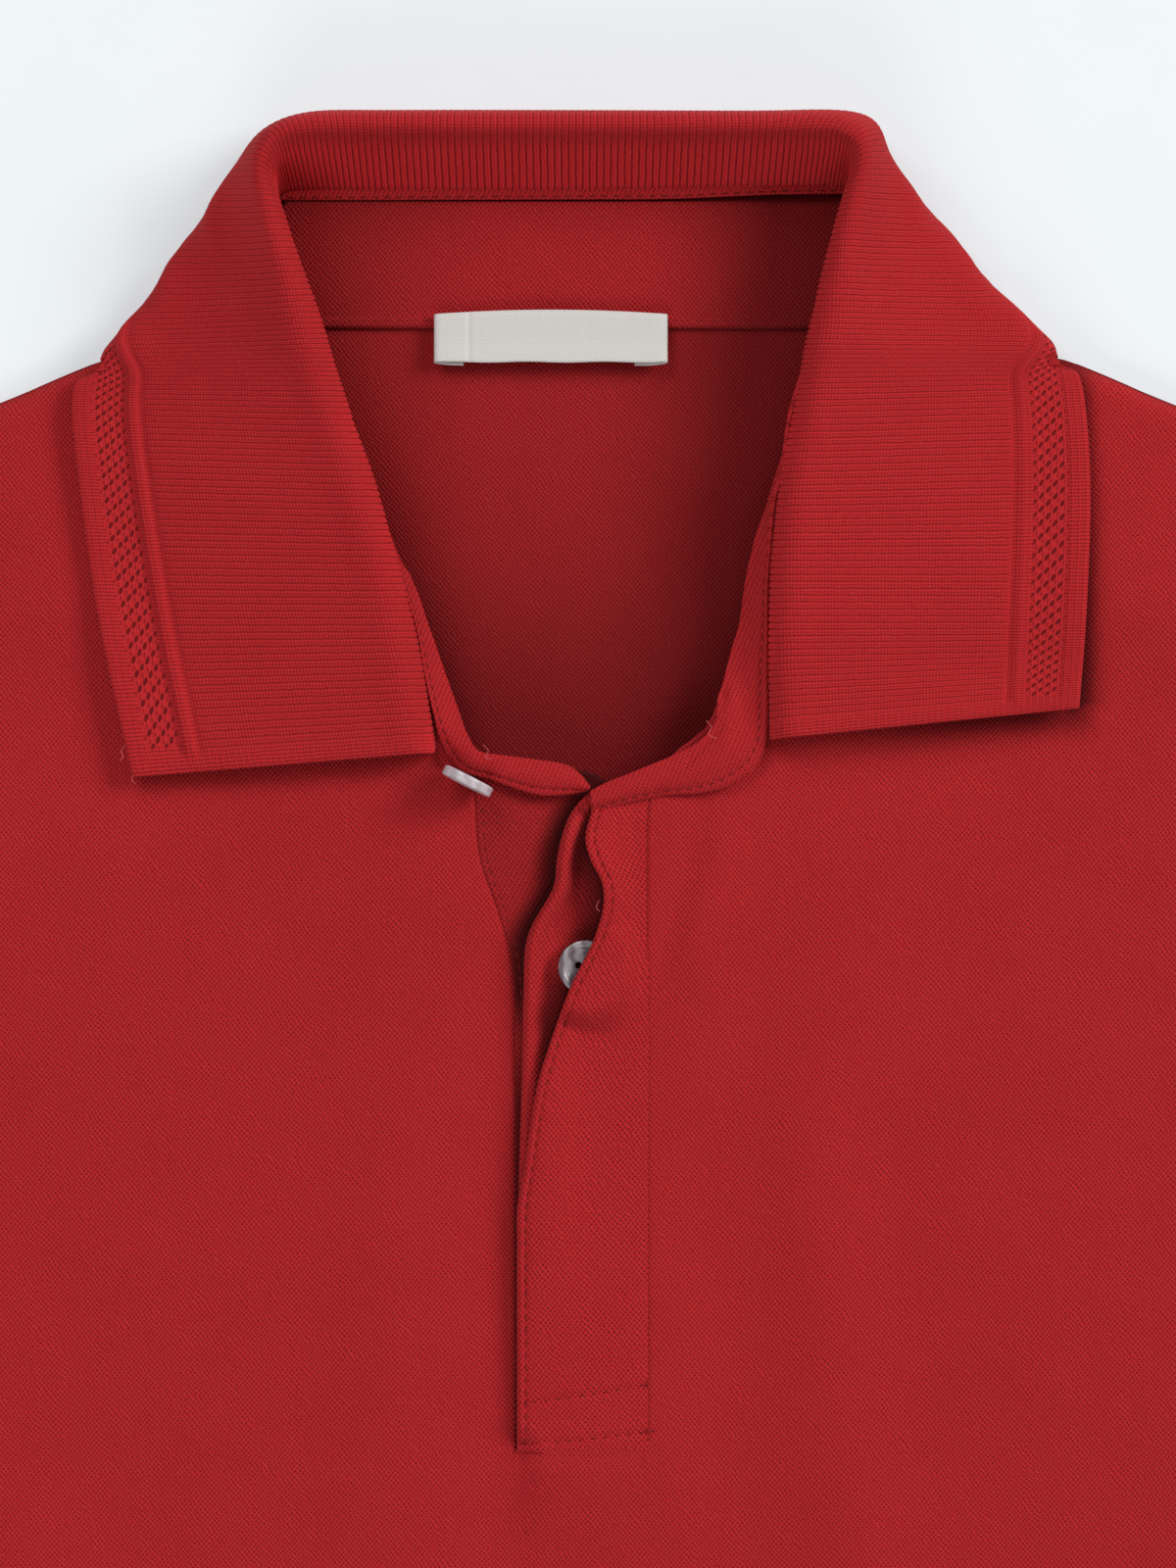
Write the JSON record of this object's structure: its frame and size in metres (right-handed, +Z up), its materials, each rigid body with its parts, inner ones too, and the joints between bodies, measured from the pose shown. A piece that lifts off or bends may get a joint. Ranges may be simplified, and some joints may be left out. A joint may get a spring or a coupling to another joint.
{
  "type": "polo shirt",
  "caption": "Knitted polo shirt laid flat on its back, ribbed collar open over the neck, concealed button placket partly undone, short sleeves spread.",
  "frame": {"origin": "middle of the shirt's outline on the surface that it lies on", "axes": "+X towards the right of the picture, from the sleeve on the left to the sleeve on the right; +Y from the hem to the collar; +Z up, out of the front panel"},
  "size_m": [0.8404, 0.719, 0.0266],
  "materials": {
    "pique_knit": "matt red cotton pique with a fine honeycomb texture",
    "rib_knit": "matt red flat-knit rib with an eyelet row and a raised ridge along its edge",
    "label_weave": "off-white woven label with no print",
    "pearl": "glossy grey pearl"
  },
  "bodies": {
    "root": {"back_panel": "pique_knit", "front_panel": "pique_knit", "sleeve_left": "pique_knit", "sleeve_right": "pique_knit", "collar": "rib_knit", "neck_tape": "pique_knit", "back_yoke": "pique_knit", "placket_under": "pique_knit", "placket_fly": "pique_knit", "placket_outer": "pique_knit", "neck_label": "label_weave", "button_top": "pearl", "button_mid": "pearl"}
  },
  "joints": []
}
